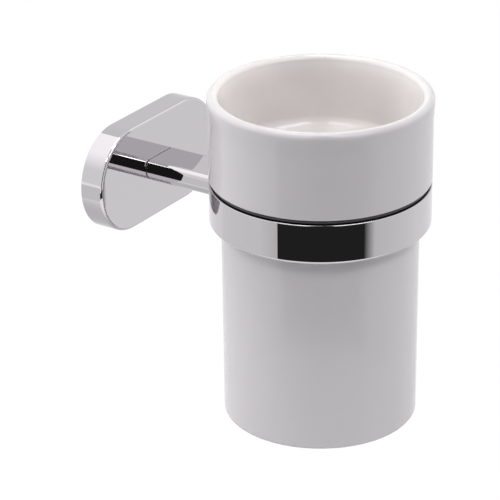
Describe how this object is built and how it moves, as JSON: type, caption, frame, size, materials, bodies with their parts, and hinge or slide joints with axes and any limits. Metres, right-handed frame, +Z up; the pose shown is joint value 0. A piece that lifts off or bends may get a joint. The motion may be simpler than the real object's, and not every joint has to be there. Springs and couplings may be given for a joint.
{
  "type": "wall-mounted toothbrush holder",
  "caption": "Ceramic tumbler for toothbrushes, lifted in and out of a chrome ring on a short arm from an obround wall rosette.",
  "frame": {"origin": "middle of the wall bracket's back face, in the plane of the wall", "axes": "+Z up along the wall, +X to the right along the wall as seen from the room, -Y out into the room"},
  "size_m": [0.07, 0.104, 0.1075],
  "materials": {
    "white_glaze": "glossy white glaze",
    "polished_chrome": "polished",
    "dark_rubber": "matt",
    "zinc_plating": "zinc plated, dull",
    "screw_steel": "plain turned steel"
  },
  "bodies": {
    "holder": {"holder_ring": "polished_chrome", "rosette": "polished_chrome", "wall_bracket": "zinc_plating", "arm_screw_left": "screw_steel", "arm_screw_right": "screw_steel", "lock_washer_left": "screw_steel", "lock_washer_right": "screw_steel", "grub_screw": "screw_steel"},
    "seat": {"seat_ring": "dark_rubber"},
    "cup": {"tumbler": "white_glaze"}
  },
  "joints": [
    {"name": "tumbler_turn", "type": "hinge", "parent": "holder", "child": "seat", "pos_m": [0, -0.069, 0], "axis": [0, 0, 1], "continuous": true},
    {"name": "tumbler_lift", "type": "slide", "parent": "seat", "child": "cup", "axis": [0, 0, 1], "range_m": [0, 0.09]}
  ]
}
